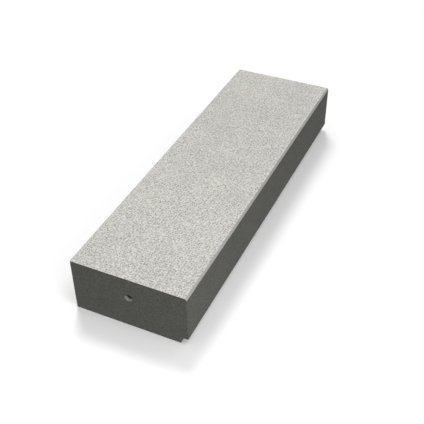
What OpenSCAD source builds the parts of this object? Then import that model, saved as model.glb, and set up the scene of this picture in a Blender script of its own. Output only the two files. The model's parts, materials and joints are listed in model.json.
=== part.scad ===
// Precast concrete block step: a stone-chip facing on a reinforced core, with a chamfered
// nosing, a rebate under the front edge and a lifting sleeve cast into each end.
//
// Millimetres. X runs along the step, the nosing faces -Y and Z is up. The origin is the
// middle of the underside. Left is -X and right is +X.

/* [Block] */
// Length of the step
block_length = 1000; // [800:10:1500]
// Depth from the nosing to the back
block_depth = 300; // [280:5:400]
// Height from the underside to the tread
block_height = 150; // [140:1:200]
// Thickness of the stone-chip facing
facing_thickness = 15; // [10:1:20]
// Leg of the 45 degree chamfer along the nosing
nosing_chamfer = 5; // [2:1:8]
// Height of the rebate under the front edge
rebate_height = 19; // [10:1:25]
// Depth of the rebate under the front edge
rebate_depth = 19; // [10:1:30]

/* [Lifting sleeves] */
// Clear bore of a sleeve
sleeve_bore = 20; // [16:1:26]
// Wall of a sleeve
sleeve_wall = 1; // [0.5:0.5:2]
// Length of a sleeve, from the end face inwards
sleeve_length = 80; // [60:5:110]
// Height of the sleeves' axis above the underside
sleeve_height = 92; // [75:1:95]
// Wall and floor of the cap that closes a sleeve's inner end
cap_wall = 1.5; // [1:0.5:3]
// Length of the cap's skirt over the sleeve
cap_skirt = 10; // [6:1:16]

/* [Reinforcement] */
// Least concrete cover over the stirrups
concrete_cover = 30; // [25:1:35]
// Diameter of the long bars
bar_diameter = 8; // [6:1:10]
// Concrete cover over the ends of the long bars
bar_end_cover = 30; // [25:1:50]
// Diameter of the stirrup wire
stirrup_diameter = 6; // [5:1:8]
// Distance from the end of the step to its first stirrup
stirrup_end_offset = 100; // [95:5:150]
// Diameter of the tie wire
tie_diameter = 1.2; // [1:0.1:1.6]

/* [Spacers] */
// Length of a spacer, along the step
spacer_length = 30; // [20:1:50]
// Width of a spacer, along its stirrup
spacer_width = 40; // [30:1:60]

/* [Hidden] */
$fn = 48;

// The sides of the step
left_x = -block_length / 2;
front_y = -block_depth / 2;
back_y = block_depth / 2;
facing_z = block_height - facing_thickness;

// Outside of a lifting sleeve, and of the cap pushed over its inner end
sleeve_radius = sleeve_bore / 2 + sleeve_wall;
cap_radius = sleeve_radius + cap_wall;
// Mouth of the left end's cap
cap_x = left_x + sleeve_length - cap_skirt;

// The stirrups' outer rectangle, which keeps its cover behind the rebate as well
cage_front = front_y + rebate_depth + concrete_cover;
cage_back = back_y - concrete_cover;
cage_bottom = concrete_cover;
cage_top = block_height - concrete_cover;

// A stirrup bends round a mandrel of four wire diameters
bend_inner = 2 * stirrup_diameter;
bend_radius = bend_inner + stirrup_diameter / 2;
stirrup_count = 5;
stirrup_pitch = (block_length - 2 * stirrup_end_offset) / (stirrup_count - 1);
stirrup_x = [for (i = [0 : stirrup_count - 1]) left_x + stirrup_end_offset + i * stirrup_pitch];

// Centres of the four bends, as [y, z]
bend_front = cage_front + stirrup_diameter / 2 + bend_radius;
bend_back = cage_back - stirrup_diameter / 2 - bend_radius;
bend_bottom = cage_bottom + stirrup_diameter / 2 + bend_radius;
bend_top = cage_top - stirrup_diameter / 2 - bend_radius;
// Each corner is [y, z, direction of its outward diagonal in degrees from +Y]
TOP_BACK = [bend_back, bend_top, 45];
TOP_FRONT = [bend_front, bend_top, 135];
BOTTOM_FRONT = [bend_front, bend_bottom, 225];
BOTTOM_BACK = [bend_back, bend_bottom, 315];
CORNERS = [TOP_BACK, TOP_FRONT, BOTTOM_FRONT, BOTTOM_BACK];

// Cement paste keeps a thin film between the steel pieces
paste_film = 0.5;
// Distance of a long bar from its bend's centre, along the diagonal
bar_reach = bend_inner - bar_diameter / 2 - paste_film;
bar_length = block_length - 2 * bar_end_cover;

// A tie's ring goes round the long bar and the stirrup where they cross
tie_inner_reach = bar_reach - bar_diameter / 2;
tie_outer_reach = bend_radius + stirrup_diameter / 2;
tie_reach = (tie_inner_reach + tie_outer_reach) / 2;
tie_radius = (tie_outer_reach - tie_inner_reach) / 2 + paste_film + tie_diameter / 2;
tie_tail_length = 12;
// The tail's two twisted wires, drawn as one rod
tie_tail_diameter = 1.5 * tie_diameter;

// Spacers stand under the second stirrup from each end
spacer_stirrup_left = stirrup_x[1];
spacer_stirrup_right = stirrup_x[stirrup_count - 2];
spacer_front_y = bend_front + spacer_width / 2 + stirrup_diameter;
spacer_back_y = bend_back - spacer_width / 2 - stirrup_diameter;
spacer_height = cage_bottom + stirrup_diameter / 2;

// Lets one solid's faces pass clear of another's in a cut
cut_past = 1;

// ---- Frames that place a piece ----

// Turns a shape drawn along +Z so that it runs along +X from x
module along_x(x) {
    translate([x, 0, 0]) rotate([0, 90, 0]) children();
}

// Places a YZ outline, drawn as [y, z], as a bar from x over length
module outline_along_x(x, length) {
    translate([x, 0, 0]) rotate([90, 0, 90]) linear_extrude(length) children();
}

// Stands at a corner's bend centre, with +X along the step and +Y along the outward diagonal
module at_corner(corner, x) {
    translate([x, corner[0], corner[1]]) rotate([corner[2], 0, 0]) children();
}

// Copies a shape drawn for the left end to the end on the given side, -1 or 1
module at_end(side) {
    if (side < 0) children();
    else mirror([1, 0, 0]) children();
}

// ---- Concrete ----

// Outline of the facing: chamfered at the nosing
module facing_outline() {
    polygon([
        [front_y, facing_z],
        [back_y, facing_z],
        [back_y, block_height],
        [front_y + nosing_chamfer, block_height],
        [front_y, block_height - nosing_chamfer]
    ]);
}

// Outline of the core: cut away under its front edge
module core_outline() {
    polygon([
        [front_y + rebate_depth, 0],
        [back_y, 0],
        [back_y, facing_z],
        [front_y, facing_z],
        [front_y, rebate_height],
        [front_y + rebate_depth, rebate_height]
    ]);
}

module facing_layer() {
    color("gainsboro") outline_along_x(left_x, block_length) facing_outline();
}

module core_block() {
    color("dimgray") difference() {
        outline_along_x(left_x, block_length) core_outline();
        for (side = [-1, 1]) sleeve_pocket(side);
        for (corner = CORNERS) long_bar_shape(corner);
        for (x = stirrup_x) stirrup_shape(x);
        all_ties();
        for (x = [spacer_stirrup_left, spacer_stirrup_right])
            for (y = [spacer_front_y, spacer_back_y]) spacer_shape(x, y);
    }
}

// ---- Lifting sleeves ----

// A tube in line with the lifting pin, flush with the end face
module sleeve_shape(side) {
    at_end(side) translate([0, 0, sleeve_height]) difference() {
        along_x(left_x) cylinder(h = sleeve_length, r = sleeve_radius);
        along_x(left_x - cut_past) cylinder(h = sleeve_length + 2 * cut_past, d = sleeve_bore);
    }
}

// A cup pushed over the sleeve's inner end, which keeps the concrete out
module cap_shape(side) {
    at_end(side) translate([0, 0, sleeve_height]) difference() {
        along_x(cap_x) cylinder(h = cap_skirt + cap_wall, r = cap_radius);
        along_x(cap_x - cut_past) cylinder(h = cap_skirt + cut_past, r = sleeve_radius);
    }
}

// The room that a sleeve and its cap take up in the core
module sleeve_pocket(side) {
    at_end(side) translate([0, 0, sleeve_height]) {
        along_x(left_x - cut_past) cylinder(h = sleeve_length, r = sleeve_radius);
        along_x(cap_x) cylinder(h = cap_skirt + cap_wall, r = cap_radius);
    }
}

module lifting_sleeve_left() { color("lightgray") sleeve_shape(-1); }
module lifting_sleeve_right() { color("lightgray") sleeve_shape(1); }
module sleeve_cap_left() { color("lightgray") cap_shape(-1); }
module sleeve_cap_right() { color("lightgray") cap_shape(1); }

// ---- Reinforcement ----

// A straight bar in the crook of the stirrups' bends
module long_bar_shape(corner) {
    at_corner(corner, left_x + bar_end_cover) translate([0, bar_reach, 0])
        along_x(0) cylinder(h = bar_length, d = bar_diameter);
}

module top_bar_front() { color("sienna") long_bar_shape(TOP_FRONT); }
module top_bar_rear() { color("sienna") long_bar_shape(TOP_BACK); }
module bottom_bar_front() { color("sienna") long_bar_shape(BOTTOM_FRONT); }
module bottom_bar_rear() { color("sienna") long_bar_shape(BOTTOM_BACK); }

// A closed rectangular hoop with rounded corners, standing across the step at x
module stirrup_shape(x) {
    wire_radius = stirrup_diameter / 2;
    // Quarter bends, drawn in the YZ plane
    for (corner = CORNERS)
        translate([x, corner[0], corner[1]]) rotate([90, 0, 90]) rotate([0, 0, corner[2] - 45])
            rotate_extrude(angle = 90) translate([bend_radius, 0]) circle(r = wire_radius);
    // Straight legs across the step, then upright ones
    for (z = [bend_top + bend_radius, bend_bottom - bend_radius])
        translate([x, bend_back, z]) rotate([90, 0, 0])
            cylinder(h = bend_back - bend_front, r = wire_radius);
    for (y = [bend_front - bend_radius, bend_back + bend_radius])
        translate([x, y, bend_bottom]) cylinder(h = bend_top - bend_bottom, r = wire_radius);
}

module stirrup_1() { color("peru") stirrup_shape(stirrup_x[0]); }
module stirrup_2() { color("peru") stirrup_shape(stirrup_x[1]); }
module stirrup_3() { color("peru") stirrup_shape(stirrup_x[2]); }
module stirrup_4() { color("peru") stirrup_shape(stirrup_x[3]); }
module stirrup_5() { color("peru") stirrup_shape(stirrup_x[4]); }

// A ring of tie wire, set at 45 degrees to both pieces it holds, with its twisted tail
module tie_shape(corner, x) {
    at_corner(corner, x) translate([0, tie_reach, 0]) {
        rotate([0, 45, 0]) rotate_extrude() translate([tie_radius, 0]) circle(d = tie_diameter);
        translate([0, -tie_radius, 0]) rotate([90, 0, 0])
            cylinder(h = tie_tail_length, d = tie_tail_diameter);
    }
}

module all_ties() {
    for (x = stirrup_x)
        for (corner = CORNERS) tie_shape(corner, x);
}

module tie_wires() { color("darkgray") all_ties(); }

// ---- Spacers ----

// A fibre-cement block under a stirrup, with a saddle for its wire
module spacer_shape(x, y) {
    difference() {
        translate([x - spacer_length / 2, y - spacer_width / 2, 0])
            cube([spacer_length, spacer_width, spacer_height]);
        translate([x, y + spacer_width / 2 + cut_past, spacer_height]) rotate([90, 0, 0])
            cylinder(h = spacer_width + 2 * cut_past, r = stirrup_diameter / 2 + paste_film);
    }
}

module spacer_front_left() { color("silver") spacer_shape(spacer_stirrup_left, spacer_front_y); }
module spacer_front_right() { color("silver") spacer_shape(spacer_stirrup_right, spacer_front_y); }
module spacer_rear_left() { color("silver") spacer_shape(spacer_stirrup_left, spacer_back_y); }
module spacer_rear_right() { color("silver") spacer_shape(spacer_stirrup_right, spacer_back_y); }

facing_layer();
core_block();
lifting_sleeve_left();
lifting_sleeve_right();
sleeve_cap_left();
sleeve_cap_right();
top_bar_front();
top_bar_rear();
bottom_bar_front();
bottom_bar_rear();
stirrup_1();
stirrup_2();
stirrup_3();
stirrup_4();
stirrup_5();
tie_wires();
spacer_front_left();
spacer_front_right();
spacer_rear_left();
spacer_rear_right();
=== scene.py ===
import json
import math

import bpy
import numpy as np
from mathutils import Matrix, Vector


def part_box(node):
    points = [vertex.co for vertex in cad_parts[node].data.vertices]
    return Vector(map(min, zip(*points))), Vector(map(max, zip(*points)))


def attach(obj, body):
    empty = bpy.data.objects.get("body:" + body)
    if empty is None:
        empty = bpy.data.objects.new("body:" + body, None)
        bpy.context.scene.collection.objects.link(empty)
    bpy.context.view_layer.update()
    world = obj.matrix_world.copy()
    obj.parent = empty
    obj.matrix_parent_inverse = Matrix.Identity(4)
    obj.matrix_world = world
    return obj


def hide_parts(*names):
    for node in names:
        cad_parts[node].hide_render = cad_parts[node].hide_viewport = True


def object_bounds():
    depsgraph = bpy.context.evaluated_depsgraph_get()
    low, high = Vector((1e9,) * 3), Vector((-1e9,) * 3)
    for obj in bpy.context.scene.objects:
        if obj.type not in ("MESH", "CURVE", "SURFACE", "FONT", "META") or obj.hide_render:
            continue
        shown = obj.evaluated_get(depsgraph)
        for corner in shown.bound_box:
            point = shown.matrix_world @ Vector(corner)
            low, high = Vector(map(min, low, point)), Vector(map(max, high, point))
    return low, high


# The looks of a precast concrete block step: a blasted stone-chip tread on dark cast sides.
# Metres, in the row frame: X along the step, the nosing faces -Y and Z is up.

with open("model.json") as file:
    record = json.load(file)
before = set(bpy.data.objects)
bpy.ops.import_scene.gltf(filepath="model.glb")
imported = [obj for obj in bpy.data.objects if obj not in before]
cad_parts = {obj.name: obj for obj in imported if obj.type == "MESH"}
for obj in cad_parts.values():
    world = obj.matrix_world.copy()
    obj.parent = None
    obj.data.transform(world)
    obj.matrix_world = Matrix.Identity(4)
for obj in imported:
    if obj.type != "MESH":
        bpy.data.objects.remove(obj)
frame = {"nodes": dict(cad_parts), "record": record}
cad_low, cad_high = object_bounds()

MM = 0.001
X, Y, Z = 0, 1, 2
ENDS = ("left", "right")
ROWS = ("front", "rear")


# ---- Sizes that come from the frame ----

def mount(name):
    return next(m for m in frame["record"]["mounts"] if m["name"] == name)


facing_low, facing_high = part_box("facing_layer")
core_low, core_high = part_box("core_block")
rebate_top = mount("rebate_seat")["pos_m"][Z]
rebate_back = mount("rebate_back")["pos_m"][Y]

# The chamfer starts where the tread's flat top ends
top_points = [v.co for v in frame["nodes"]["facing_layer"].data.vertices
              if facing_high.z - v.co.z < 0.01 * MM]
chamfer = min(p.y for p in top_points) - facing_low.y

sleeve_low, sleeve_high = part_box("lifting_sleeve_left")
sleeve_y = (sleeve_low.y + sleeve_high.y) / 2
sleeve_z = (sleeve_low.z + sleeve_high.z) / 2
sleeve_outer = (sleeve_high.z - sleeve_low.z) / 2
sleeve_inner = mount("lifting_bore_left")["dims"]["r_mm"] * MM
sleeve_length = sleeve_high.x - sleeve_low.x
cap_low, cap_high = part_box("sleeve_cap_left")
cap_outer = (cap_high.z - cap_low.z) / 2
cap_mouth = cap_low.x - cad_low.x
cap_end = cap_high.x - cad_low.x
spacer_boxes = [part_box(f"spacer_{row}_{end}") for row in ROWS for end in ENDS]


# ---- Sizes of the visible detail ----

# Spacing of the points on the tread and on the cast faces
TREAD_PITCH = 2.0 * MM
CAST_PITCH = 4.0 * MM
# Radius of the worn edges
TREAD_ARRIS = 0.6 * MM
CAST_ARRIS = 0.8 * MM
# How far a grid point may stray, as a share of the spacing
JITTER = 0.32
# Points closer than this are one point
WELD = 0.001 * MM
# Share of the cast cells that hold a blowhole
BLOWHOLE_SHARE = 0.012


# ---- Repeatable noise ----

AXIS_PRIMES = (73856093, 19349663, 83492791)
SEED_PRIME = 2654435761
MIXING = ((15, 2246822519), (13, 3266489917))
LOW_BITS = np.uint64(2**32 - 1)


def hashed(cells, seed):
    """A random number from 0 to 1 for each row of three whole numbers, the same on every run."""
    cells = cells.astype(np.int64).astype(np.uint64)
    bits = np.uint64(seed * SEED_PRIME % 2**32)
    for axis, prime in enumerate(AXIS_PRIMES):
        bits = bits ^ cells[..., axis] * np.uint64(prime)
    for shift, prime in MIXING:
        bits = (bits ^ (bits >> np.uint64(shift))) * np.uint64(prime) & LOW_BITS
    return ((bits ^ (bits >> np.uint64(16))) & LOW_BITS).astype(float) / 2**32


def smooth(t):
    t = np.clip(t, 0, 1)
    return t * t * (3 - 2 * t)


def clouds(points, size, seed):
    """Smooth noise from 0 to 1, with features about size across."""
    p = points / size
    base = np.floor(p)
    t = smooth(p - base)
    total = np.zeros(len(p))
    for corner in np.ndindex(2, 2, 2):
        step = np.array(corner)
        weight = np.prod(np.where(step, t, 1 - t), axis=1)
        total += weight * hashed(base + step, seed)
    return total


def stones(points, size, seed):
    """Packed stones about size across: how far each point is inside its stone, and its stone's number."""
    p = points / size
    base = np.floor(p)
    nearest = np.full(len(p), 9.0)
    second = np.full(len(p), 9.0)
    number = np.zeros(len(p))
    for offset in np.ndindex(3, 3, 3):
        cell = base + np.array(offset) - 1
        centre = cell + np.stack([hashed(cell, seed + axis) for axis in range(3)], axis=1)
        distance = np.linalg.norm(p - centre, axis=1)
        closer = distance < nearest
        second = np.where(closer, nearest, np.minimum(second, distance))
        number = np.where(closer, hashed(cell, seed + 3), number)
        nearest = np.where(closer, distance, nearest)
    return second - nearest, number


# ---- Surfaces ----

def lines(breaks, pitch):
    """Grid lines through every break, with evenly spaced ones between, and whether each may be jittered."""
    places, free = [], []
    for low, high in zip(breaks, breaks[1:]):
        count = max(1, math.ceil((high - low) / pitch - 1e-6))
        places += [low + (high - low) * i / count for i in range(count)]
        free += [False] + [True] * (count - 1)
    return np.array(places + [breaks[-1]]), np.array(free + [False])


HOLE_SIDES = 8
# Radius of a blowhole, as a share of its cell
SMALLEST_HOLE = 0.12
LARGEST_HOLE = 0.36
# Rings down a blowhole, as shares of its radius: how wide and how deep
HOLE_RINGS = [(1.0, 0.0), (0.86, 0.45), (0.5, 0.85)]


class Shell:
    """A closed surface being built up from panels. Points in the same place are shared."""

    def __init__(self):
        self.index = {}
        self.points = []
        self.outward = []
        self.faces = []
        self.finishes = []

    def point(self, place, normal=(0, 0, 0)):
        key = tuple(round(value / WELD) for value in place)
        if key not in self.index:
            self.index[key] = len(self.points)
            self.points.append(tuple(place))
            self.outward.append(np.zeros(3))
        number = self.index[key]
        self.outward[number] = self.outward[number] + normal
        return number

    def face(self, corners, finish):
        self.faces.append(tuple(corners))
        self.finishes.append(finish)

    def grid(self, u, u_lines, v, v_lines, level, side, finish, keep=None, pits=0.0, seed=0):
        """A flat panel across axes u and v, facing along the third axis. keep says which cells are there,
        and pits is the share of its free cells that hold a blowhole."""
        w = 3 - u - v
        normal = np.zeros(3)
        normal[w] = side
        cross = (v - u) % 3 == 1
        flip = cross != (side > 0)
        (us, u_free), (vs, v_free) = u_lines, v_lines
        numbers = np.zeros((len(us), len(vs)), int)
        used = np.zeros((len(us), len(vs)), bool)
        here = np.ones((len(us) - 1, len(vs) - 1), bool)
        if keep is not None:
            middle_u, middle_v = (us[1:] + us[:-1]) / 2, (vs[1:] + vs[:-1]) / 2
            here = keep(middle_u[:, None], middle_v[None, :]) & here
        for du, dv in np.ndindex(2, 2):
            used[du:len(us) - 1 + du, dv:len(vs) - 1 + dv] |= here
        i, j = np.nonzero(used)
        places = np.zeros((len(i), 3))
        places[:, u], places[:, v], places[:, w] = us[i], vs[j], level
        loose = u_free[i] & v_free[j]
        whole = np.floor(places / WELD + 0.5)
        for axis, steps in ((u, us), (v, vs)):
            spread = JITTER * np.median(np.diff(steps))
            places[:, axis] += loose * spread * (2 * hashed(whole, 50 + axis) - 1)
        for a, b, place in zip(i, j, places):
            numbers[a, b] = self.point(place, normal)
        pitted = np.zeros_like(here)
        if pits > 0:
            cells = np.stack(np.broadcast_arrays(*np.indices(here.shape), seed), axis=-1)
            pitted = hashed(cells, seed + 7) < pits
            pitted &= (u_free[:-1] & u_free[1:])[:, None] & (v_free[:-1] & v_free[1:])[None, :]
        for a, b in zip(*np.nonzero(here)):
            ring = [numbers[a, b], numbers[a + 1, b], numbers[a + 1, b + 1], numbers[a, b + 1]]
            if flip:
                ring.reverse()
            if pitted[a, b]:
                self.blowhole(ring, normal, finish, seed)
            else:
                self.face(ring, finish)

    def blowhole(self, ring, normal, finish, seed):
        """A round dimple inside one cell."""
        corners = np.array([self.points[number] for number in ring])
        centre = corners.mean(axis=0)
        whole = np.floor(centre / WELD)[None, :]
        size = hashed(whole, seed + 11)[0]
        cell = np.linalg.norm(corners[0] - corners[2]) / math.sqrt(2)
        radius = (SMALLEST_HOLE + (LARGEST_HOLE - SMALLEST_HOLE) * size ** 2) * cell
        across = corners[1] - corners[0]
        across -= normal * across.dot(normal)
        across /= np.linalg.norm(across)
        beside = np.cross(normal, across)
        # The rim's first two points lie on either side of the cell's first corner
        turns = [math.tau * (k - 3.5) / HOLE_SIDES for k in range(HOLE_SIDES)]
        rings = []
        for share, depth in HOLE_RINGS:
            ring_centre = centre - normal * depth * radius
            rings.append([self.point(ring_centre + share * radius * (math.cos(turn) * across
                                                                     + math.sin(turn) * beside), normal)
                          for turn in turns])
        bottom = self.point(centre - normal * radius, normal)
        rim = rings[0]
        for k in range(4):
            self.face((ring[k], rim[2 * k + 1], rim[2 * k]), finish)
            self.face((ring[k], ring[(k + 1) % 4], rim[(2 * k + 2) % HOLE_SIDES], rim[2 * k + 1]), finish)
        for outer, inner in zip(rings, rings[1:]):
            self.band(outer, inner, finish)
        for k in range(HOLE_SIDES):
            self.face((rings[-1][k], rings[-1][(k + 1) % HOLE_SIDES], bottom), finish)

    def band(self, outer, inner, finish):
        """Quads between two closed rings with as many points, both counter-clockwise as seen from outside."""
        for k in range(len(outer)):
            n = (k + 1) % len(outer)
            self.face((outer[k], outer[n], inner[n], inner[k]), finish)

    def arrays(self):
        places = np.array(self.points)
        outward = np.array(self.outward)
        length = np.linalg.norm(outward, axis=1, keepdims=True)
        return places, outward / np.maximum(length, 1e-9)

    def touched(self, finish):
        """Which points belong to a face with this finish."""
        result = np.zeros(len(self.points), bool)
        for face, number in zip(self.faces, self.finishes):
            if number == finish:
                result[list(face)] = True
        return result

    def build(self, name, places, finishes):
        mesh = bpy.data.meshes.new(name)
        mesh.from_pydata(places.tolist(), [], self.faces)
        for finish in finishes:
            mesh.materials.append(finish)
        mesh.polygons.foreach_set("material_index", np.array(self.finishes, np.int32))
        mesh.validate()
        mesh.update()
        piece = bpy.data.objects.new(name, mesh)
        bpy.context.scene.collection.objects.link(piece)
        return piece


def rounded(places, low, high, radius):
    """Rounds the edges of the box from low to high by radius. Both may differ from point to point."""
    inner = np.clip(places, low + radius, high - radius)
    reach = places - inner
    length = np.linalg.norm(reach, axis=1, keepdims=True)
    return inner + reach * np.minimum(1, radius / np.maximum(length, 1e-9))


# ---- Procedural materials ----

class Finish:
    """A principled material whose node graph is built by the functions below."""

    def __init__(self, name, roughness, specular=0.3):
        self.material = bpy.data.materials.new(name)
        self.material.use_nodes = True
        self.tree = self.material.node_tree
        self.surface = self.tree.nodes["Principled BSDF"]
        self.surface.inputs["Roughness"].default_value = roughness
        self.surface.inputs["Specular IOR Level"].default_value = specular
        self.place = self.node("ShaderNodeTexCoord").outputs["Object"]

    def node(self, kind, **settings):
        made = self.tree.nodes.new(kind)
        for key, value in settings.items():
            setattr(made, key, value)
        return made

    def feed(self, socket, value):
        if isinstance(value, bpy.types.NodeSocket):
            self.tree.links.new(value, socket)
        else:
            socket.default_value = value

    def noise(self, size, detail=2.0, roughness=0.5):
        made = self.node("ShaderNodeTexNoise")
        self.feed(made.inputs["Vector"], self.place)
        made.inputs["Scale"].default_value = 1 / size
        made.inputs["Detail"].default_value = detail
        made.inputs["Roughness"].default_value = roughness
        return made.outputs["Fac"]

    def cells(self, size, feature="F1", output="Color", randomness=1.0, place=None):
        """Packed cells about size across, sampled at place or at the point being shaded."""
        made = self.node("ShaderNodeTexVoronoi", feature=feature)
        self.feed(made.inputs["Vector"], self.place if place is None else place)
        made.inputs["Randomness"].default_value = randomness
        made.inputs["Scale"].default_value = 1 / size
        return made.outputs[output]

    def ramp(self, value, stops, interpolation="LINEAR"):
        """Colours along value, from a list of (place, colour)."""
        made = self.node("ShaderNodeValToRGB")
        made.color_ramp.interpolation = interpolation
        elements = made.color_ramp.elements
        while len(elements) < len(stops):
            elements.new(0.5)
        for element, (place, colour) in zip(elements, stops):
            element.position = place
            element.color = (*colour, 1)
        self.feed(made.inputs["Fac"], value)
        return made.outputs["Color"]

    def grey(self, value, low, high, start=0.0, end=1.0):
        """value mapped from start..end to low..high."""
        made = self.node("ShaderNodeMapRange")
        self.feed(made.inputs["Value"], value)
        for name, number in (("From Min", start), ("From Max", end), ("To Min", low), ("To Max", high)):
            made.inputs[name].default_value = number
        return made.outputs["Result"]

    def channel(self, colour, name):
        made = self.node("ShaderNodeSeparateColor")
        self.feed(made.inputs["Color"], colour)
        return made.outputs[name]

    def mix(self, a, b, factor, blend="MIX"):
        made = self.node("ShaderNodeMix", data_type="RGBA", blend_type=blend)
        self.feed(made.inputs["Factor"], factor)
        self.feed(made.inputs["A"], a)
        self.feed(made.inputs["B"], b)
        return made.outputs["Result"]

    def darken(self, colour, value, factor=1.0):
        """colour multiplied by value on all three channels."""
        made = self.node("ShaderNodeCombineColor")
        for name in ("Red", "Green", "Blue"):
            self.feed(made.inputs[name], value)
        return self.mix(colour, made.outputs["Color"], factor, "MULTIPLY")

    def axis(self, name):
        """How far along X, Y or Z a point lies, in the row frame."""
        split = self.node("ShaderNodeSeparateXYZ")
        self.feed(split.inputs[0], self.place)
        return split.outputs[name]

    def maths(self, operation, a, b=0.0):
        made = self.node("ShaderNodeMath", operation=operation)
        self.feed(made.inputs[0], a)
        self.feed(made.inputs[1], b)
        return made.outputs[0]

    def attribute(self, name):
        return self.node("ShaderNodeAttribute", attribute_name=name).outputs["Fac"]

    def bump(self, height, depth, strength=1.0, under=None):
        made = self.node("ShaderNodeBump")
        made.inputs["Strength"].default_value = strength
        made.inputs["Distance"].default_value = depth
        self.feed(made.inputs["Height"], height)
        if under is not None:
            self.feed(made.inputs["Normal"], under)
        return made.outputs["Normal"]

    def colour(self, value):
        self.feed(self.surface.inputs["Base Color"], value)

    def rough(self, value):
        self.feed(self.surface.inputs["Roughness"], value)

    def relief(self, normal):
        self.feed(self.surface.inputs["Normal"], normal)


def rgba(r, g, b):
    return (r, g, b, 1.0)


# Width of a stone chip in the facing, spacing of the dark specks made of a few chips each, and of the slow
# changes in tone along the tread
CHIP = 1.9 * MM
SPECK_SPACING = 7 * MM
TONE_SPACING = 110 * MM
# How far the specks stray from an even pattern, from 0 to 1
SPECK_RANDOMNESS = 0.55
# How much of each chip's own colour shows against the chips' mean colour
CHIP_VARIETY = 0.58


def stone_chips():
    """Blasted facing concrete: pale and grey stone chips in a light cement paste."""
    f = Finish("blasted_stone_chips", roughness=0.9, specular=0.25)
    chip = f.cells(CHIP)
    stone = f.ramp(f.channel(chip, "Red"), [
        (0.0, (0.09, 0.088, 0.085)),
        (0.09, (0.22, 0.217, 0.209)),
        (0.21, (0.43, 0.423, 0.407)),
        (0.36, (0.62, 0.611, 0.589)),
        (0.55, (0.77, 0.758, 0.732)),
        (0.84, (0.84, 0.83, 0.806)),
    ], "CONSTANT")
    warmth = f.ramp(f.channel(chip, "Green"), [
        (0.0, (1.03, 1.00, 0.95)),
        (0.3, (1.01, 1.00, 0.97)),
        (0.7, (1.00, 1.00, 0.99)),
        (1.0, (0.975, 1.00, 1.0)),
    ])
    stone = f.mix(rgba(0.60, 0.592, 0.572), stone, CHIP_VARIETY)
    stone = f.mix(stone, warmth, 1.0, "MULTIPLY")
    paste = f.mix(rgba(0.46, 0.453, 0.433), rgba(0.66, 0.649, 0.622), f.noise(1.2 * MM))
    gap = f.cells(CHIP, "DISTANCE_TO_EDGE", "Distance")
    body = f.mix(paste, stone, f.grey(gap, 0.0, 1.0, 0.03, 0.16))
    tone = f.ramp(f.noise(TONE_SPACING, detail=4, roughness=0.6), [
        (0.32, (0.948, 0.952, 0.937)),
        (0.5, (1.013, 1.008, 1.0)),
        (0.68, (1.061, 1.046, 1.018)),
    ])
    body = f.mix(body, tone, 1.0, "MULTIPLY")
    # A chip is as dark as its middle is near to the middle of a speck
    middle = f.cells(CHIP, output="Position")
    speck = f.cells(SPECK_SPACING, output="Distance", randomness=SPECK_RANDOMNESS, place=middle)
    body = f.darken(body, f.grey(speck, 0.51, 1.078, 0.10, 0.45))
    # The gaps between the blasted stones hold a little more shade
    f.colour(f.darken(body, f.grey(f.attribute("lift"), 0.89, 1.0)))
    f.rough(f.grey(f.channel(chip, "Blue"), 0.75, 0.97))
    fine = f.bump(f.noise(0.8 * MM, detail=3), 0.12 * MM)
    f.relief(f.bump(f.grey(gap, 0.0, 1.0, 0.0, 0.25), 0.35 * MM, under=fine))
    return f.material


def chamfer_with_painted_shade():
    """The chamfer: chips and paste dressed flat and smoother than the tread, and painted greyer and darker
    than it as shade on the sloping face.
    """
    f = Finish("dressed_chamfer", roughness=0.8, specular=0.3)
    chip = f.cells(CHIP)
    # Painted shade: these chips are much darker than the tread's, standing for the shade on the sloping
    # chamfer
    stone = f.ramp(f.channel(chip, "Red"), [
        (0.0, (0.24, 0.237, 0.228)),
        (0.15, (0.31, 0.306, 0.295)),
        (0.6, (0.35, 0.345, 0.332)),
        (0.9, (0.40, 0.395, 0.38)),
    ], "CONSTANT")
    f.colour(f.mix(stone, rgba(0.31, 0.306, 0.295), f.grey(f.noise(3 * MM, detail=3), 0.2, 0.8)))
    f.relief(f.bump(f.noise(0.8 * MM, detail=3), 0.06 * MM))
    return f.material


def cast_skin():
    """Dark concrete as it leaves a steel mould: a smooth cement skin with faint mottling."""
    f = Finish("dark_cast_skin", roughness=0.85, specular=0.12)
    base = f.mix(rgba(0.079, 0.0795, 0.0735), rgba(0.094, 0.093, 0.086), f.noise(45 * MM, detail=4))
    grain = f.ramp(f.noise(3.0 * MM, detail=4, roughness=0.75), [
        (0.3, (0.74, 0.76, 0.78)),
        (0.5, (1.0, 1.0, 1.0)),
        (0.7, (1.28, 1.26, 1.22)),
    ])
    sand = f.ramp(f.channel(f.cells(1.5 * MM), "Red"), [
        (0.0, (0.62, 0.63, 0.64)),
        (0.15, (0.90, 0.90, 0.90)),
        (0.55, (1.04, 1.03, 1.02)),
        (0.88, (1.42, 1.40, 1.34)),
    ], "CONSTANT")
    base = f.mix(f.mix(base, grain, 1.0, "MULTIPLY"), sand, 0.75, "MULTIPLY")
    # Painted shade: small dark dots stand for the shade inside tiny pores of the skin
    hole = f.grey(f.cells(3.2 * MM, output="Distance"), 0.55, 1.0, 0.05, 0.16)
    f.colour(f.darken(base, hole, 0.6))
    f.rough(f.grey(f.noise(12 * MM, detail=3), 0.72, 0.95))
    fine = f.bump(f.noise(0.9 * MM, detail=3), 0.05 * MM)
    f.relief(f.bump(f.noise(7 * MM, detail=2), 0.12 * MM, under=fine))
    return f.material


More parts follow.
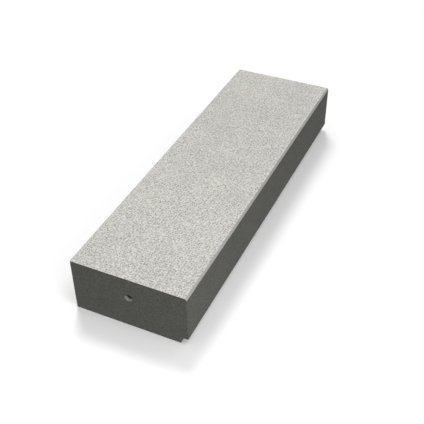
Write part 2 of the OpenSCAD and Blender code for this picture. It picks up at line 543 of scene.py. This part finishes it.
def bed_face():
    """The underside: the same dark concrete, left rougher by the mould's floor."""
    f = Finish("rough_cast_underside", roughness=0.9, specular=0.2)
    clouding = f.noise(28 * MM, detail=5, roughness=0.65)
    base = f.mix(rgba(0.125, 0.124, 0.115), rgba(0.175, 0.173, 0.16), clouding)
    grain = f.ramp(f.noise(1.8 * MM, detail=3, roughness=0.7), [
        (0.3, (0.75, 0.75, 0.75)),
        (0.7, (1.2, 1.2, 1.18)),
    ])
    f.colour(f.mix(base, grain, 1.0, "MULTIPLY"))
    fine = f.bump(f.noise(1.3 * MM, detail=4), 0.2 * MM)
    f.relief(f.bump(f.noise(9 * MM, detail=3), 0.5 * MM, under=fine))
    return f.material


# How far into a sleeve the dried cement reaches, and the width of its faded edge
FILM_DEPTH = 9 * MM
FILM_EDGE = 1.2 * MM


def sleeve_plastic(name, film):
    """Dark moulded plastic. With film, pale cement has dried in the mouth of the bore, deepest at the bottom.
    Painted shade darkens the film from the nosing side towards the back of the bore."""
    f = Finish(name, roughness=0.5, specular=0.45)
    dust = f.noise(3 * MM, detail=4, roughness=0.6)
    dusty = f.grey(dust, 0.0, 1.0, 0.42, 0.62)
    colour = f.mix(rgba(0.050, 0.050, 0.050), rgba(0.085, 0.084, 0.079), dusty)
    if film:
        # Painted shade: the film's colour is pale on the nosing side and grows darker towards the back of the
        # bore
        back = f.grey(f.axis("Y"), 0.0, 1.0, sleeve_y - sleeve_inner, sleeve_y + sleeve_inner)
        cement = f.mix(rgba(0.74, 0.733, 0.693), rgba(0.27, 0.267, 0.253), back)
        inwards = f.maths("SUBTRACT", cad_high.x, f.maths("ABSOLUTE", f.axis("X")))
        reach = f.grey(f.axis("Z"), FILM_DEPTH, 0.0, sleeve_z - sleeve_inner / 2, sleeve_z + sleeve_inner / 2)
        past = f.maths("SUBTRACT", inwards, reach)
        colour = f.mix(cement, colour, f.grey(past, 0.0, 1.0, -FILM_EDGE, FILM_EDGE))
    f.colour(colour)
    f.rough(f.grey(dust, 0.42, 0.8, 0.4, 0.6))
    f.relief(f.bump(f.noise(1.1 * MM, detail=2), 0.04 * MM))
    return f.material


def rebar_steel():
    """Hot-rolled bar: dark mill scale with freckles of rust."""
    f = Finish("mill_scale_and_rust", roughness=0.6, specular=0.5)
    rust = f.grey(f.noise(5 * MM, detail=6, roughness=0.75), 0.0, 1.0, 0.38, 0.72)
    f.colour(f.mix(rgba(0.050, 0.050, 0.054), rgba(0.19, 0.092, 0.050), rust))
    f.feed(f.surface.inputs["Metallic"], f.grey(rust, 0.75, 0.05))
    f.rough(f.grey(rust, 0.42, 0.9))
    f.relief(f.bump(f.noise(1.2 * MM, detail=4), 0.08 * MM))
    return f.material


def tie_wire():
    """Black annealed wire."""
    f = Finish("annealed_wire", roughness=0.45, specular=0.5)
    wear = f.noise(4 * MM, detail=3)
    f.colour(f.mix(rgba(0.045, 0.045, 0.05), rgba(0.16, 0.15, 0.145), wear))
    f.surface.inputs["Metallic"].default_value = 0.85
    f.rough(f.grey(wear, 0.35, 0.6))
    return f.material


def fibre_cement():
    """Pale grey spacer block with a fibrous surface."""
    f = Finish("fibre_cement", roughness=0.92, specular=0.2)
    clouding = f.noise(5 * MM, detail=5, roughness=0.7)
    f.colour(f.mix(rgba(0.30, 0.295, 0.275), rgba(0.42, 0.41, 0.385), clouding))
    f.relief(f.bump(f.noise(1.5 * MM, detail=4, roughness=0.7), 0.15 * MM))
    return f.material


chips = stone_chips()
dressed = chamfer_with_painted_shade()
skin = cast_skin()
bed_finish = bed_face()
plastic = sleeve_plastic("dark_plastic", film=False)
bore_plastic = sleeve_plastic("dark_plastic_with_cement_film", film=True)
steel = rebar_steel()
wire = tie_wire()
cement = fibre_cement()


# ---- Relief ----

# Each layer of relief: how deep it is, how far apart its hollows are, and its seed
CAST_LAYERS = [(0.10 * MM, 90 * MM, 21), (0.06 * MM, 22 * MM, 22), (0.05 * MM, 5 * MM, 23)]
BED_LAYERS = [(0.5 * MM, 45 * MM, 31), (0.35 * MM, 11 * MM, 32)]
TREAD_LAYERS = [(0.12 * MM, 13 * MM, 45), (0.12 * MM, 70 * MM, 46)]
# The blasted stones: their size, the gaps between them, and how much lower one lies than another
STONE = 4.2 * MM
STONE_SEED = 41
STONE_GAP = 0.35
GAP_DEPTH = 0.34 * MM
STONE_SINK = 0.30 * MM
TREAD_DEPTH = GAP_DEPTH + STONE_SINK + sum(depth for depth, size, seed in TREAD_LAYERS)
# How deep the edge between tread and chamfer lies
CHAMFER_TOP = 0.3 * MM
# Wear along an edge: a little everywhere, and deeper knocks where the noise is above a threshold
EDGE_WEAR = 0.10 * MM
KNOCK_DEPTH = 0.9 * MM
KNOCK_START = 0.42
KNOCK_FADE = 0.25
# The noise along an edge: how far apart the worn stretches are, and how far apart the knocks in them
WORN_STRETCH = 26 * MM
KNOCK_SPACING = 5 * MM
# Where panels meet, their directions add up to more than this
MEETING = 1.1


def layered(places, layers):
    return sum(depth * clouds(places, size, seed) for depth, size, seed in layers)


def tread_relief(places):
    """How deep the blasted tread lies below its highest stones."""
    inside, number = stones(places, STONE, STONE_SEED)
    gap = 1 - smooth(inside / STONE_GAP)
    return GAP_DEPTH * gap + STONE_SINK * number + layered(places, TREAD_LAYERS)


def edge_relief(shell, places, seed):
    """How deep the wear is at the points where two panels meet, and nothing elsewhere."""
    meeting = np.linalg.norm(np.array(shell.outward), axis=1) > MEETING
    noise = clouds(places, WORN_STRETCH, seed) * clouds(places, KNOCK_SPACING, seed + 1)
    return meeting * (EDGE_WEAR + KNOCK_DEPTH * smooth((noise - KNOCK_START) / KNOCK_FADE))


# ---- The facing ----

TREAD, CHAMFER, SIDE = 0, 1, 2
# A distance well beyond the step
FAR = 1.0


def facing_shell():
    """The pale tread and its chamfer, on a rim with the same cast skin as the core."""
    shell = Shell()
    low, high, r = facing_low, facing_high, TREAD_ARRIS
    xs = lines([low.x, low.x + r, high.x - r, high.x], TREAD_PITCH)
    ys = lines([low.y + chamfer, high.y - r, high.y], TREAD_PITCH)
    steps = lines([0, chamfer - r, chamfer], TREAD_PITCH)[0]
    slope_y, slope_z = low.y + steps, high.z - chamfer + steps
    rim_z = fixed([*lines([low.z, slope_z[0]], TREAD_PITCH)[0][:-1], *slope_z])
    front_z = fixed([z for z in rim_z[0] if z < slope_z[0] + WELD])
    end_y = fixed([*slope_y[:-1], *ys[0]])

    shell.grid(X, xs, Y, ys, high.z, 1, TREAD)
    shell.grid(X, xs, Z, front_z, low.y, -1, SIDE)
    shell.grid(X, xs, Z, rim_z, high.y, 1, SIDE)

    # The chamfer, row by row from the nosing up to the tread
    slope = np.array([0, -1, 1]) / math.sqrt(2)
    rows = [[shell.point((x, y, z), slope) for x in xs[0]] for y, z in zip(slope_y, slope_z)]
    for below, above in zip(rows, rows[1:]):
        for k in range(len(below) - 1):
            shell.face((below[k], below[k + 1], above[k + 1], above[k]), CHAMFER)

    # The ends are whole cells below the chamfer's line, and a triangle in each step of it
    for x, side in ((low.x, -1), (high.x, 1)):
        shell.grid(Y, end_y, Z, rim_z, x, side, SIDE,
                   keep=lambda y, z: z - slope_z[0] < y - low.y - WELD)
        for k in range(len(steps) - 1):
            corner = [shell.point((x, slope_y[k], slope_z[k])),
                      shell.point((x, slope_y[k + 1], slope_z[k])),
                      shell.point((x, slope_y[k + 1], slope_z[k + 1]))]
            shell.face(corner[::side], SIDE)
    joint_face(shell, xs[0], end_y[0], low.z, -1, SIDE)
    return shell


def fixed(places):
    """Grid lines that aren't jittered."""
    return np.array(places), np.zeros(len(places), bool)


def joint_face(shell, xs, ys, z, side, finish):
    """The hidden face between facing and core, as strips across the step. The two end strips meet every
    point of the ends."""
    front = [shell.point((x, ys[0], z)) for x in xs]
    rear = [shell.point((x, ys[-1], z)) for x in xs]
    left = [shell.point((xs[0], y, z)) for y in ys]
    right = [shell.point((xs[-1], y, z)) for y in ys]
    strips = [(front[k], front[k + 1], rear[k + 1], rear[k]) for k in range(1, len(xs) - 2)]
    strips.append((front[0], front[1], rear[1], *left[:0:-1]))
    strips.append((front[-2], *right, rear[-2]))
    for strip in strips:
        shell.face(strip[::side], finish)


def make_facing():
    shell = facing_shell()
    places, outward = shell.arrays()
    # The joint under the facing keeps its square edges, so the rounding's box reaches far below it
    low = np.array(facing_low) - [0, 0, FAR]
    places = rounded(places, low, np.array(facing_high), TREAD_ARRIS)
    tread = shell.touched(TREAD)
    depth = np.where(tread, tread_relief(places), layered(places, CAST_LAYERS))
    depth += edge_relief(shell, places, 61)
    depth[tread & shell.touched(CHAMFER)] = CHAMFER_TOP
    piece = shell.build("blasted_facing", places - outward * depth[:, None], [chips, dressed, skin])
    lift = piece.data.attributes.new("lift", "FLOAT", "POINT")
    lift.data.foreach_set("value", np.where(tread, 1 - depth / TREAD_DEPTH, 1).clip(0, 1))
    dress(piece, "facing_concrete", "facing_layer")


# Edges that turn more than this stay sharp
SHARP_ANGLE = math.radians(50)


def dress(piece, slot, *nodes):
    """Shades a piece, ties it to the step's only body and lets it stand for its CAD nodes."""
    piece.data.shade_smooth()
    piece.data.set_sharp_from_angle(angle=SHARP_ANGLE)
    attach(piece, "root")
    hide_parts(*nodes)


# ---- The core ----

CAST, BED = 0, 1
# Half the square of an end face that eases into the round mouth of the sleeve
MOUTH_BLOCK = 16 * MM
# Softening of the mouth's edge, and the skin of concrete over the sleeve's end
MOUTH_FLARE = 0.3 * MM
SLEEVE_RECESS = 0.6 * MM
# How square the rings are on the way from the square to the round mouth
SQUARENESS = (0.6, 0.25, 0.0)


def core_shell():
    shell = Shell()
    low, high, r = core_low, core_high, CAST_ARRIS
    spacer_x = sorted({round(c.x, 6) for box in spacer_boxes for c in box})
    spacer_y = sorted({round(c.y, 6) for box in spacer_boxes for c in box})
    mouth_y = [sleeve_y - MOUTH_BLOCK, sleeve_y + MOUTH_BLOCK]
    mouth_z = [sleeve_z - MOUTH_BLOCK, sleeve_z + MOUTH_BLOCK]
    xs = lines([low.x, low.x + r, *spacer_x, high.x - r, high.x], CAST_PITCH)
    ys = lines(sorted([low.y, low.y + r, rebate_back, rebate_back + r, *spacer_y, *mouth_y,
                       high.y - r, high.y]), CAST_PITCH)
    zs = lines([low.z, low.z + r, rebate_top, rebate_top + r, *mouth_z, high.z], CAST_PITCH)

    def between(axis_lines, start, end):
        inside = (axis_lines[0] > start - WELD) & (axis_lines[0] < end + WELD)
        return axis_lines[0][inside], axis_lines[1][inside]

    lip_y, bed_y = between(ys, low.y, rebate_back), between(ys, rebate_back, high.y)
    heel_z, face_z = between(zs, low.z, rebate_top), between(zs, rebate_top, high.z)
    shell.grid(X, xs, Y, bed_y, low.z, -1, BED, keep=lambda x, y: ~in_spacer(x, y))
    shell.grid(X, xs, Y, lip_y, rebate_top, -1, CAST)
    shell.grid(X, xs, Z, heel_z, rebate_back, -1, CAST)
    shell.grid(X, xs, Z, face_z, low.y, -1, CAST, pits=BLOWHOLE_SHARE, seed=1)
    shell.grid(X, xs, Z, zs, high.y, 1, CAST, pits=BLOWHOLE_SHARE, seed=2)

    def end_keep(y, z):
        rebate = (y < rebate_back) & (z < rebate_top)
        mouth = (abs(y - sleeve_y) < MOUTH_BLOCK) & (abs(z - sleeve_z) < MOUTH_BLOCK)
        return ~(rebate | mouth)

    for x, side, seed in ((low.x, -1, 3), (high.x, 1, 4)):
        shell.grid(Y, ys, Z, zs, x, side, CAST, keep=end_keep, pits=BLOWHOLE_SHARE, seed=seed)
        sleeve_mouth(shell, x, side, between(ys, *mouth_y)[0], between(zs, *mouth_z)[0])
    for box_low, box_high in spacer_boxes:
        pocket(shell, between(xs, box_low.x, box_high.x)[0], between(ys, box_low.y, box_high.y)[0],
               low.z, box_high.z)
    joint_face(shell, xs[0], ys[0], high.z, 1, CAST)
    return shell


def in_spacer(x, y):
    inside = np.zeros(np.broadcast(x, y).shape, bool)
    for box_low, box_high in spacer_boxes:
        inside |= (x > box_low.x) & (x < box_high.x) & (y > box_low.y) & (y < box_high.y)
    return inside


def loop(us, vs):
    """The border of a grid, counter-clockwise from its lowest corner with u to the right and v up."""
    return ([(u, vs[0]) for u in us[:-1]] + [(us[-1], v) for v in vs[:-1]]
            + [(u, vs[-1]) for u in us[:0:-1]] + [(us[0], v) for v in vs[:0:-1]])


def sleeve_mouth(shell, x, side, ys, zs):
    """Eases a square hole in an end face into the sleeve's round pocket, then lines the pocket."""
    border = loop(ys, zs)
    count = len(border)
    normal = np.array([side, 0, 0])

    def ring(depth, radius, square=0.0, push=(0, 0, 0)):
        made = []
        for k, (y, z) in enumerate(border):
            # The border's first point is its lowest corner, which lies at -135 degrees
            turn = 2 * math.pi * k / count - 0.75 * math.pi
            round_y = sleeve_y + radius * math.cos(turn)
            round_z = sleeve_z + radius * math.sin(turn)
            made.append(shell.point((x - side * depth, square * y + (1 - square) * round_y,
                                     square * z + (1 - square) * round_z), push))
        return made[::side]

    mouth = sleeve_inner + MOUTH_FLARE
    rings = [ring(0, mouth, square=1.0)]
    rings += [ring(0, mouth, square, normal) for square in SQUARENESS]
    rings += [ring(MOUTH_FLARE, sleeve_inner), ring(SLEEVE_RECESS, sleeve_inner),
              ring(SLEEVE_RECESS, sleeve_outer), ring(cap_mouth, sleeve_outer),
              ring(cap_mouth, cap_outer), ring(cap_end, cap_outer)]
    for outer, inner in zip(rings, rings[1:]):
        shell.band(outer, inner, CAST)
    shell.face(rings[-1], CAST)


def pocket(shell, xs, ys, z, top):
    """The hollow that a spacer fills, open at the underside."""
    border = loop(xs, ys)[::-1]
    mouth = [shell.point((x, y, z)) for x, y in border]
    roof = [shell.point((x, y, top)) for x, y in border]
    shell.band(mouth, roof, CAST)
    shell.face(roof, CAST)


def make_core():
    shell = core_shell()
    places, outward = shell.arrays()
    # Above the rebate the section reaches the nosing, and in front of it the section ends at the lip
    lip = places[:, Y] < rebate_back - WELD
    heel = ~lip & (places[:, Z] < rebate_top - WELD)
    low, high = np.tile(core_low, (len(places), 1)), np.tile(core_high, (len(places), 1))
    low[lip, Z] = rebate_top
    low[heel, Y] = rebate_back
    high[:, Z] += FAR
    # The walls of the hollows were given no outward direction, and stay as they are
    hollow = np.linalg.norm(outward, axis=1) < 0.5
    places = np.where(hollow[:, None], places, rounded(places, low, high, CAST_ARRIS))
    depth = np.where(shell.touched(BED), layered(places, BED_LAYERS), layered(places, CAST_LAYERS))
    depth += edge_relief(shell, places, 71)
    piece = shell.build("cast_core", places - outward * depth[:, None], [skin, bed_finish])
    dress(piece, "core_concrete", "core_block")


# ---- The sleeves ----

BORE, OUTSIDE = 0, 1
SLEEVE_SIDES = 48
# Softening of the sleeve's end
SLEEVE_LIP = 0.3 * MM


def make_sleeve(end, side, x):
    """A tube just behind the skin of the end face, with a softly rounded lip."""
    shell = Shell()
    profile = [(sleeve_length, sleeve_inner), (SLEEVE_RECESS + SLEEVE_LIP, sleeve_inner),
               (SLEEVE_RECESS, sleeve_inner + SLEEVE_LIP), (SLEEVE_RECESS, sleeve_outer - SLEEVE_LIP),
               (SLEEVE_RECESS + SLEEVE_LIP, sleeve_outer), (sleeve_length, sleeve_outer)]
    rings = []
    for depth, radius in profile:
        turns = [2 * math.pi * k / SLEEVE_SIDES for k in range(SLEEVE_SIDES)]
        rings.append([shell.point((x - side * depth, sleeve_y + radius * math.cos(t),
                                   sleeve_z + radius * math.sin(t))) for t in turns][::side])
    finishes = [BORE, BORE, BORE, OUTSIDE, OUTSIDE, OUTSIDE]
    for inner, outer, finish in zip(rings, rings[1:] + rings[:1], finishes):
        shell.band(outer, inner, finish)
    piece = shell.build(f"moulded_sleeve_{end}", np.array(shell.points), [bore_plastic, plastic])
    dress(piece, "sleeve_plastic", f"lifting_sleeve_{end}")


# ---- The long bars ----

BAR_SIDES = 20
BAR_PITCH = 1.0 * MM
RIB_HEIGHT = 0.3 * MM
RIB_SPACING = 5.0 * MM
RIB_LEAN = 2.2 * MM
SIDE_RIB = 0.7 * RIB_HEIGHT
# Where a rib rises from the bar along its wave, and over how much of the wave
RIB_START = 0.1
RIB_FLANK = 0.7
# As shares of the height from the bar's middle to its top: where the crescents reach full height, where
# the side ribs end, and how soft their edge is
CRESCENT_FADE = 0.6
SIDE_RIB_WIDTH = 0.2
SIDE_RIB_FADE = 0.1


def rib_height(along, turns):
    """The bar's ribs: leaning crescents above and below, and a lower line along each side."""
    lean = RIB_LEAN * np.cos(turns)
    crest = smooth((np.cos(2 * math.pi * (along + lean) / RIB_SPACING) - RIB_START) / RIB_FLANK)
    upright = abs(np.sin(turns))
    crescents = RIB_HEIGHT * crest * smooth(upright / CRESCENT_FADE)
    return np.maximum(crescents, SIDE_RIB * smooth((SIDE_RIB_WIDTH - upright) / SIDE_RIB_FADE))


def make_bar(name):
    """A ribbed bar whose ribs reach the CAD bar's diameter."""
    low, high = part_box(name)
    radius = (high.z - low.z) / 2
    middle_y, middle_z = (low.y + high.y) / 2, (low.z + high.z) / 2
    shell = Shell()
    turns = 2 * math.pi * np.arange(BAR_SIDES) / BAR_SIDES
    rings = []
    for x in lines([low.x, high.x], BAR_PITCH)[0]:
        reach = radius - RIB_HEIGHT + rib_height(x, turns)
        ys, zs = middle_y + reach * np.cos(turns), middle_z + reach * np.sin(turns)
        rings.append([shell.point((x, y, z)) for y, z in zip(ys, zs)])
    for here, beyond in zip(rings, rings[1:]):
        shell.band(here, beyond, 0)
    shell.face(rings[0][::-1], 0)
    shell.face(rings[-1], 0)
    piece = shell.build(f"ribbed_{name}", np.array(shell.points), [steel])
    dress(piece, "rebar_steel", name)


make_facing()
make_core()
make_sleeve("left", -1, cad_low.x)
make_sleeve("right", 1, cad_high.x)
for row in ROWS:
    make_bar(f"top_bar_{row}")
    make_bar(f"bottom_bar_{row}")


# ---- The cast-in pieces, which keep their CAD meshes ----

cast_in = {"sleeve_cap": plastic, "stirrup": steel, "tie_wires": wire, "spacer": cement}
for name, node in frame["nodes"].items():
    for start, finish in cast_in.items():
        if name.startswith(start):
            for slot in node.material_slots:
                slot.material = finish


# ---- The studio ----

FLOOR_HALF = 12.0
FLOOR_GAP = 0.2 * MM
FLOOR_ALBEDO = 0.84
# Light that the camera sees from the floor in full shadow, and that the step receives from any part of it
FLOOR_GLOW = 0.10
FLOOR_BOUNCE = 0.97
# Brightness of the surroundings, as they light the step and as the camera sees them
SKY = 0.30
WHITE = 1.0

CAMERA_AZIMUTH = -65.06
CAMERA_ELEVATION = 39.10
CAMERA_ROLL = -0.447
CAMERA_LENS = 63.11
CAMERA_SENSOR = 36.0
# Places along X and Y, and the distance, as shares of the step's length
CAMERA_TARGET = (-0.0364, 0.0038)
CAMERA_DISTANCE = 2.079


def emission(f, strength):
    made = f.node("ShaderNodeEmission")
    f.feed(made.inputs["Strength"], strength)
    return made.outputs[0]


def light_table():
    """A pale floor. The camera sees soft shadows on it, but it lights the step as evenly as if it had
    none."""
    f = Finish("light_table", roughness=1.0)
    paint = f.node("ShaderNodeBsdfDiffuse")
    f.feed(paint.inputs["Color"], rgba(FLOOR_ALBEDO, FLOOR_ALBEDO, FLOOR_ALBEDO))
    shadowed = f.node("ShaderNodeAddShader")
    f.feed(shadowed.inputs[0], paint.outputs[0])
    f.feed(shadowed.inputs[1], emission(f, FLOOR_GLOW))
    either = f.node("ShaderNodeMixShader")
    f.feed(either.inputs["Fac"], f.node("ShaderNodeLightPath").outputs["Is Camera Ray"])
    f.feed(either.inputs[1], emission(f, FLOOR_BOUNCE))
    f.feed(either.inputs[2], shadowed.outputs[0])
    f.feed(f.tree.nodes["Material Output"].inputs["Surface"], either.outputs[0])
    return f.material


def make_floor():
    mesh = bpy.data.meshes.new("studio_floor")
    corners = [(-1, -1), (1, -1), (1, 1), (-1, 1)]
    z = cad_low.z - FLOOR_GAP
    mesh.from_pydata([(x * FLOOR_HALF, y * FLOOR_HALF, z) for x, y in corners], [], [(0, 1, 2, 3)])
    mesh.materials.append(light_table())
    floor = bpy.data.objects.new("studio_floor", mesh)
    bpy.context.scene.collection.objects.link(floor)


def make_sky():
    """White surroundings that light the step more dimly than the camera sees them."""
    world = bpy.data.worlds.new("studio_sky")
    world.use_nodes = True
    tree = world.node_tree
    background = tree.nodes["Background"]
    background.inputs["Color"].default_value = (1, 1, 1, 1)
    ray = tree.nodes.new("ShaderNodeLightPath")
    strength = tree.nodes.new("ShaderNodeMapRange")
    strength.inputs["To Min"].default_value = SKY
    strength.inputs["To Max"].default_value = WHITE
    tree.links.new(ray.outputs["Is Camera Ray"], strength.inputs["Value"])
    tree.links.new(strength.outputs["Result"], background.inputs["Strength"])
    bpy.context.scene.world = world


def pointing(direction):
    """The turn that points an object's own Z axis along direction."""
    return Vector(direction).to_track_quat("Z", "Y")


def make_light(name, kind, strength, turn):
    data = bpy.data.lights.new(name, kind)
    data.energy = strength
    light = bpy.data.objects.new(name, data)
    light.rotation_mode = "QUATERNION"
    light.rotation_quaternion = turn
    bpy.context.scene.collection.objects.link(light)
    return light


def make_sun(name, towards, strength, spread):
    """A sun whose light comes from the direction towards, with an angular size of spread degrees."""
    sun = make_light(name, "SUN", strength, pointing(towards))
    sun.data.angle = math.radians(spread)


def make_softbox(name, place, target, size, power):
    """A square area light of size metres at place, turned towards target."""
    box = make_light(name, "AREA", power, pointing(Vector(place) - Vector(target)))
    box.data.size = size
    box.location = place


def make_camera():
    """Looks down over the step's left end, a little to the nosing's side."""
    length = cad_high.x - cad_low.x
    target = Vector((CAMERA_TARGET[X] * length, CAMERA_TARGET[Y] * length, cad_low.z))
    azimuth, elevation, roll = map(math.radians, (CAMERA_AZIMUTH, CAMERA_ELEVATION, CAMERA_ROLL))
    back = Vector((math.sin(azimuth) * math.cos(elevation), -math.cos(azimuth) * math.cos(elevation),
                   math.sin(elevation)))
    right = Vector((0, 0, 1)).cross(back).normalized()
    up = back.cross(right)
    tilted_right = right * math.cos(roll) + up * math.sin(roll)
    tilted_up = up * math.cos(roll) - right * math.sin(roll)
    turn = Matrix((tilted_right, tilted_up, back)).transposed().to_4x4()
    data = bpy.data.cameras.new("camera")
    data.sensor_width = CAMERA_SENSOR
    data.lens = CAMERA_LENS
    camera = bpy.data.objects.new("camera", data)
    camera.matrix_world = Matrix.Translation(target + back * CAMERA_DISTANCE * length) @ turn
    bpy.context.scene.collection.objects.link(camera)
    bpy.context.scene.camera = camera


make_floor()
make_sky()
make_sun("key", towards=(84, 52, 150), strength=1.5, spread=17)
make_sun("second_key", towards=(-5, -62, 150), strength=0.5, spread=20)
make_sun("overhead", towards=(0, 0, 1), strength=0.8, spread=100)
make_softbox("fill", place=(-0.9, -0.95, 0.45), target=(-0.5, -0.15, 0.08), size=0.7, power=5.2)
bpy.context.scene.view_settings.view_transform = "Standard"
make_camera()
